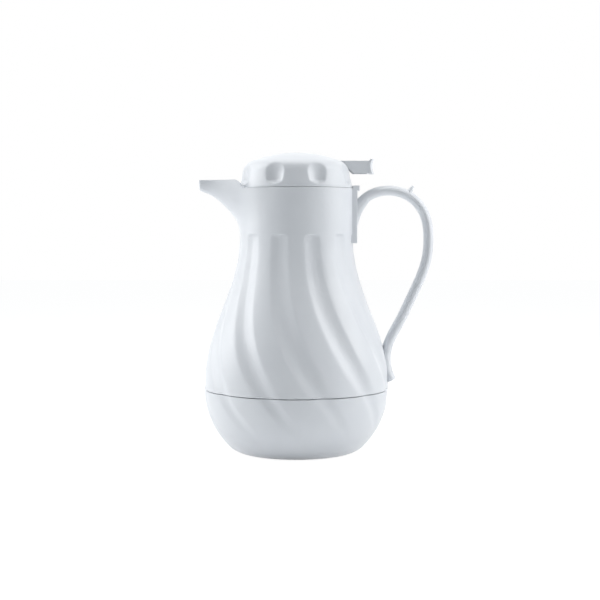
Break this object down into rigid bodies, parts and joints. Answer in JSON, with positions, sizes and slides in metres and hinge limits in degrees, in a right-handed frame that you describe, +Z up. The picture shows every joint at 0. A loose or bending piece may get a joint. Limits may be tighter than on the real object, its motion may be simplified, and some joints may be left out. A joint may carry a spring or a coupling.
{
  "type": "insulated server jug",
  "caption": "Insulated swirl-bodied jug with beak spout and looped handle; a screw lid's thumb lever lifts the pouring valve.",
  "frame": {"origin": "centre of the foot, on the table plane", "axes": "+Z up along the body's axis, -X towards the spout, +X towards the handle"},
  "size_m": [0.2199, 0.1726, 0.2804],
  "materials": {
    "body_white": "satin",
    "handle_white": "satin",
    "lid_white": "satin",
    "lever_white": "satin",
    "inner_plastic": "satin",
    "foam": "matte",
    "seal_rubber": "matte",
    "steel": "satin"
  },
  "bodies": {
    "jug": {"upper_shell": "body_white", "base_shell": "body_white", "fill_plug": "inner_plastic", "inner_liner": "inner_plastic", "liner_seal": "seal_rubber", "insulation_foam": "foam", "handle": "handle_white", "handle_screws": "steel"},
    "lid_seal": {"lid_gasket": "seal_rubber"},
    "lid": {"lid_dome": "lid_white", "lid_stopper": "inner_plastic", "guide_plate": "inner_plastic", "stem_seal": "seal_rubber", "lever_pin": "steel", "valve_spring": "steel"},
    "lever": {"lever": "lever_white"},
    "valve": {"valve_stem": "steel", "valve_disc": "inner_plastic", "valve_gasket": "seal_rubber", "valve_nut": "steel", "link_pin": "steel"}
  },
  "joints": [
    {"name": "lid_lift", "type": "slide", "parent": "jug", "child": "lid_seal", "axis": [0, 0, 1], "range_m": [0, 0.048]},
    {"name": "lid_turn", "type": "hinge", "parent": "lid_seal", "child": "lid", "pos_m": [0, 0, 0.247], "axis": [0, 0, 1], "range_deg": [0, 540]},
    {"name": "lever_press", "type": "hinge", "parent": "lid", "child": "lever", "pos_m": [0.028, 0, 0.2665], "axis": [0, 1, 0], "range_deg": [0, 8], "stiffness_Nm_per_rad": 0.8, "springref_deg": -8.59},
    {"name": "valve_lift", "type": "slide", "parent": "lid", "child": "valve", "axis": [0, 0, 1], "range_m": [0, 0.004], "deforming": ["valve_spring"]}
  ],
  "couplings": [
    {"joint": "lid_lift", "follows": "lid_turn", "m_per_rad": 0.005093},
    {"joint": "valve_lift", "follows": "lever_press", "m_per_rad": 0.028}
  ]
}
